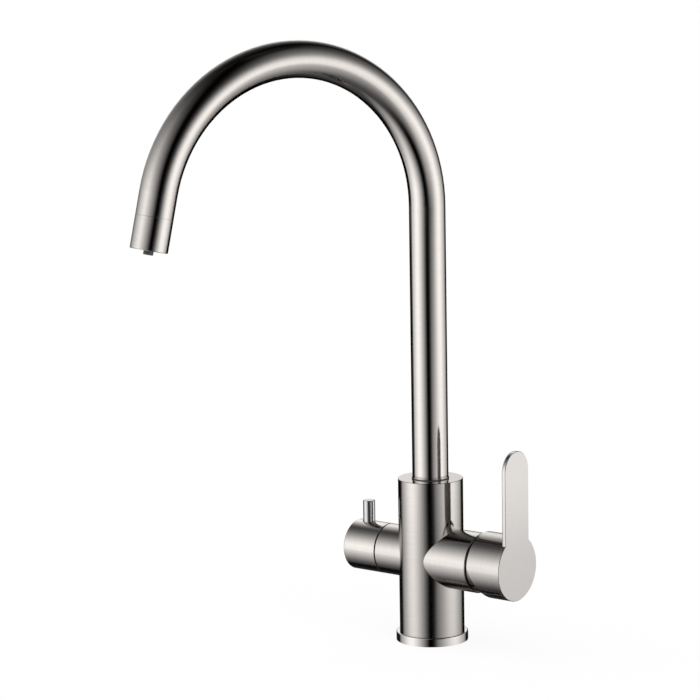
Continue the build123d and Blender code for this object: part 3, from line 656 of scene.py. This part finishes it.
# Metal close to the floor sees the softboxes mirrored in it. The mirror ends between these heights
# of the metal, and above them the tent shows in the floor's place. Its gloss is by how grazing the
# look is, from 0 to 1.
MIRRORED_METAL = (0.075, 0.12)
FLOOR_GLOSS = ((0.0, 0.82), (0.68, 0.8), (0.8, 0.95), (1.0, 0.95))
FLOOR_BLUR = 0.05
LAMPS = (("left_lamp", 35.0, -70.0), ("right_lamp", 40.0, 60.0))  # tilt and turn in degrees
LAMP_ENERGY = 0.9
LAMP_SPREAD = math.radians(50.0)
SENSOR_WIDTH = 36.0             # in millimetres, as the lens is
CAMERA_REACH = 100.0            # in metres


def on_ramp(sine):
    """Where a sine from -1 to 1, a number or a socket, lies on a ramp from 0 to 1."""
    return (sine + 1.0) / 2.0


def by_angle(tree, sine, falls):
    """The share that a fall-off in degrees has at this sine."""
    stops = [(on_ramp(math.sin(math.radians(angle))), share) for angle, share in falls]
    return tree.ramp(on_ramp(sine), stops)


def softbox_light(tree, direction, direct, softbox, brightness):
    """How bright one softbox makes the tent in this direction. Direct is 0 off a second surface."""
    facing = math.radians(softbox["facing"])
    ahead_x, ahead_y = math.cos(facing), math.sin(facing)
    x, y, z = direction
    ahead = x * ahead_x + y * ahead_y
    across = (y * ahead_x - x * ahead_y) / distance(x, y)
    low = by_angle(tree, across, softbox["low_across"])
    high = by_angle(tree, across, softbox["high_across"])
    lowest, highest = (math.sin(math.radians(angle)) for angle in softbox["change"])
    wide = low + (high - low) * tree.between(z, lowest, highest) * direct
    return wide * by_angle(tree, z, softbox["upward"]) * (ahead > 0.0) * brightness


class FAUCET_OT_stage(bpy.types.Operator):
    """Build the floor, the light tent, the lamps, the white world and the camera"""

    bl_idname = "faucet.stage"
    bl_label = "Studio"

    def execute(self, context):
        look = context.scene.faucet_stage
        self.world(context)
        self.floor(look)
        self.tent(look)
        self.lamps()
        self.camera(context, look)
        context.scene.view_settings.view_transform = "Standard"
        return {"FINISHED"}

    def world(self, context):
        """White for the camera, for gloss and for glass, and a softer light for the rest."""
        world = bpy.data.worlds.new("studio_world")
        context.scene.world = world
        tree = Nodes(world)
        rays = ("Is Camera Ray", "Is Glossy Ray", "Is Transmission Ray")
        seen, gloss, glass = tree.node("ShaderNodeLightPath", output=rays)
        sky = tree.node("ShaderNodeBackground", {"Color": WHITE, "Strength": SKY_STRENGTH})
        backdrop = tree.node("ShaderNodeBackground", {"Color": WHITE, "Strength": 1.0})
        shown = tree.mixed(seen.larger(gloss).larger(glass), sky, backdrop)
        tree.node("ShaderNodeOutputWorld", {"Surface": shown})

    def floor(self, look):
        """A plain pale floor that the camera sees as white, with the faucet's faint shadow."""
        bpy.ops.mesh.primitive_plane_add(size=look.floor_size, location=(0.0, 0.0, 0.0))
        floor = bpy.context.object
        floor.name = "studio_floor"
        material = bpy.data.materials.new("pale_floor")
        tree = Nodes(material)
        rays = ("Is Camera Ray", "Is Glossy Ray", "Ray Length")
        seen, gloss, length = tree.node("ShaderNodeLightPath", output=rays)
        colour = tree.blend(seen, coloured(look.floor_colour), WHITE)
        plain = tree.node("ShaderNodeBsdfDiffuse", {"Color": colour})
        pale = tree.mixed(seen * FLOOR_WHITENESS, plain, tree.glow(WHITE))
        grazing = tree.node("ShaderNodeLayerWeight", output="Facing")
        high = tree.between(length * (1.0 - grazing), *MIRRORED_METAL)
        shine = {"Color": tree.ramp(grazing, FLOOR_GLOSS), "Roughness": FLOOR_BLUR}
        mirror = tree.node("ShaderNodeBsdfGlossy", shine)
        sheen = tree.mixed(high, mirror, tree.node("ShaderNodeBsdfTransparent"))
        tree.show(tree.mixed(gloss, pale, sheen))
        floor.data.materials.append(material)

    def tent(self, look):
        """A light tent with its softboxes. Only gloss sees it, so it lights nothing else."""
        bpy.ops.mesh.primitive_uv_sphere_add(
            segments=TENT_SEGMENTS, ring_count=TENT_RINGS, radius=look.tent_radius,
            location=(0.0, 0.0, 0.0))
        tent = bpy.context.object
        tent.name = "light_tent"
        material = bpy.data.materials.new("tent_cloth_light")
        tree = Nodes(material)
        x, y, z = tree.place()
        z = z - TENT_CENTRE_HEIGHT
        far = distance(x, y, z)
        direction = (x / far, y / far, z / far)
        depth, length = tree.node("ShaderNodeLightPath", output=("Ray Depth", "Ray Length"))
        direct = depth < DIRECT_BOUNCES
        light = by_angle(tree, direction[2], TENT_SHADE)
        light = light + softbox_light(tree, direction, direct, LEFT_SOFTBOX, look.left_softbox)
        light = light + softbox_light(tree, direction, direct, RIGHT_SOFTBOX, look.right_softbox)
        back = softbox_light(tree, direction, direct, BACK_SOFTBOX, look.back_softbox)
        nearer = look.tent_radius - length
        share = tree.between(nearer, *HIGH_METAL_NEARER, *HIGH_METAL_SHARES)
        reflected = BACK_SOFTBOX_REFLECTED + direct * (1.0 - BACK_SOFTBOX_REFLECTED)
        tree.show(tree.glow(light + back * share * reflected))
        tent.data.materials.append(material)
        tent.visible_camera = False
        tent.visible_diffuse = False
        tent.visible_transmission = False
        tent.visible_volume_scatter = False
        tent.visible_shadow = False

    def lamps(self):
        """Two wide soft lamps, left and right. Gloss sees the softboxes in their place."""
        for name, tilt, turn in LAMPS:
            rotation = (math.radians(tilt), 0.0, math.radians(turn))
            bpy.ops.object.light_add(type="SUN", rotation=rotation)
            lamp = bpy.context.object
            lamp.name = name
            lamp.data.energy = LAMP_ENERGY
            lamp.data.angle = LAMP_SPREAD
            lamp.visible_glossy = False

    def camera(self, context, look):
        """The photograph's own viewpoint."""
        bpy.ops.object.camera_add(location=look.camera_place, rotation=look.camera_turn)
        camera = bpy.context.object
        camera.name = "studio_camera"
        camera.data.sensor_width = SENSOR_WIDTH
        camera.data.lens = look.camera_lens
        camera.data.clip_end = CAMERA_REACH
        context.scene.camera = camera


class FAUCET_PT_panel(bpy.types.Panel):
    """Every step of the faucet's looks, in order"""

    bl_idname = "FAUCET_PT_panel"
    bl_label = "Swan-neck faucet"
    bl_space_type = "VIEW_3D"
    bl_region_type = "UI"
    bl_category = "Faucet"

    def draw(self, context):
        column = self.layout.column()
        for step in STEPS:
            column.operator(step.bl_idname)
        for look in LOOKS:
            group = getattr(context.scene, look)
            for name in group.__annotations__:
                column.prop(group, name)


LOOKS = {
    "faucet_steel": FaucetSteelLook,
    "faucet_trim": FaucetTrimLook,
    "faucet_stage": FaucetStageLook,
}
STEPS = (FAUCET_OT_body, FAUCET_OT_spout, FAUCET_OT_lever, FAUCET_OT_knob, FAUCET_OT_outlet,
         FAUCET_OT_valves, FAUCET_OT_stage)
CLASSES = (*LOOKS.values(), *STEPS, FAUCET_PT_panel)


def register():
    for made in CLASSES:
        bpy.utils.register_class(made)
    for name, look in LOOKS.items():
        setattr(bpy.types.Scene, name, bpy.props.PointerProperty(type=look))


def unregister():
    for name in LOOKS:
        delattr(bpy.types.Scene, name)
    for made in reversed(CLASSES):
        bpy.utils.unregister_class(made)


def main():
    register()
    bpy.ops.object.select_all(action="DESELECT")
    bpy.ops.faucet.body()
    bpy.ops.faucet.spout()
    bpy.ops.faucet.lever()
    bpy.ops.faucet.knob()
    bpy.ops.faucet.outlet()
    bpy.ops.faucet.valves()
    bpy.ops.faucet.stage()


if __name__ == "__main__":
    main()
